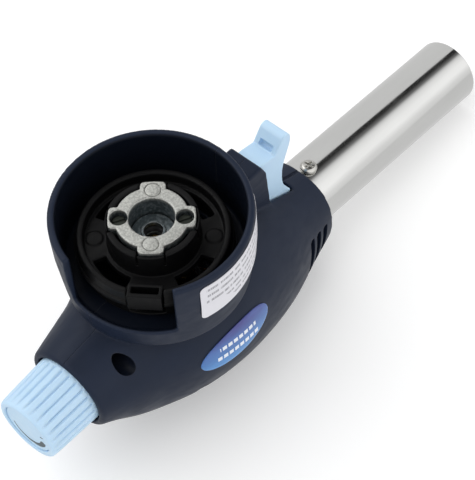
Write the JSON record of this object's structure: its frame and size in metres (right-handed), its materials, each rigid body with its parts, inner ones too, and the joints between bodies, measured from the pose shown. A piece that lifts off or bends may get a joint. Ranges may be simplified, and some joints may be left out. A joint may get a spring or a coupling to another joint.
{
  "type": "butane torch head",
  "caption": "Butane torch head with a cup and bayonet seat for a cartridge, a fluted gas knob at the tail, a sliding igniter trigger and a long flame tube.",
  "frame": {"origin": "centre of the cup's rim plane, on the axis of the gas connector", "axes": "+Z out of the cup towards the cartridge, +X towards the mouth of the flame tube, the two shells meet on Y = 0"},
  "size_m": [0.1981, 0.0583, 0.0782],
  "materials": {
    "shell": "moulded navy plastic, satin",
    "base": "moulded black plastic, satin",
    "controls": "moulded light blue plastic, satin",
    "connector": "die-cast zinc alloy, tumbled",
    "tube": "drawn stainless steel, bright",
    "burner": "machined and pressed stainless steel",
    "screws": "zinc-plated steel",
    "steel": "plain steel",
    "brass": "turned brass",
    "copper": "drawn copper pipe",
    "seals": "nitrile rubber",
    "lead": "silicone-covered wire",
    "ceramic": "glazed ceramic",
    "plunger": "natural white plastic",
    "label": "white film label, satin",
    "badge": "printed blue film, gloss"
  },
  "bodies": {
    "body": {"shell_right": "shell", "shell_left": "shell", "shell_screw_tail": "screws", "shell_screw_belly": "screws", "shell_screw_front": "screws", "cartridge_base": "base", "locating_catch": "base", "bayonet_connector": "connector", "connector_screw_right": "screws", "connector_screw_left": "screws", "seat_ring": "steel", "inlet_seal": "seals", "inlet_filter": "brass", "valve_body": "brass", "gland_nut": "brass", "gas_pipe": "copper", "jet_holder": "brass", "jet_nozzle": "brass", "mixing_tube": "brass", "burner_head": "burner", "burner_holder": "burner", "flame_tube": "tube", "tube_screw": "screws", "electrode": "burner", "electrode_insulator": "ceramic", "ignition_lead": "lead", "piezo_housing": "base", "piezo_spring": "steel", "cup_label": "label", "side_badge": "badge"},
    "spindle": {"valve_spindle": "brass", "spindle_seal": "seals"},
    "knob": {"gas_knob": "controls", "knob_cap": "controls", "knob_screw": "screws"},
    "trigger": {"trigger": "controls", "piezo_plunger": "plunger"}
  },
  "joints": [
    {"name": "spindle_travel", "type": "slide", "parent": "body", "child": "spindle", "axis": [-0.9997, 0, -0.0262], "range_m": [0, 0.00094]},
    {"name": "knob_turn", "type": "hinge", "parent": "spindle", "child": "knob", "pos_m": [-0.048, 0, -0.0452], "axis": [-0.9997, 0, -0.0262], "range_deg": [0, 450]},
    {"name": "trigger_slide", "type": "slide", "parent": "body", "child": "trigger", "axis": [-1, 0, 0], "range_m": [0, 0.004], "stiffness_N_per_m": 800, "springref_m": -0.006, "deforming": ["piezo_spring"]}
  ],
  "couplings": [
    {"joint": "spindle_travel", "follows": "knob_turn", "m_per_rad": 0.00011937}
  ]
}
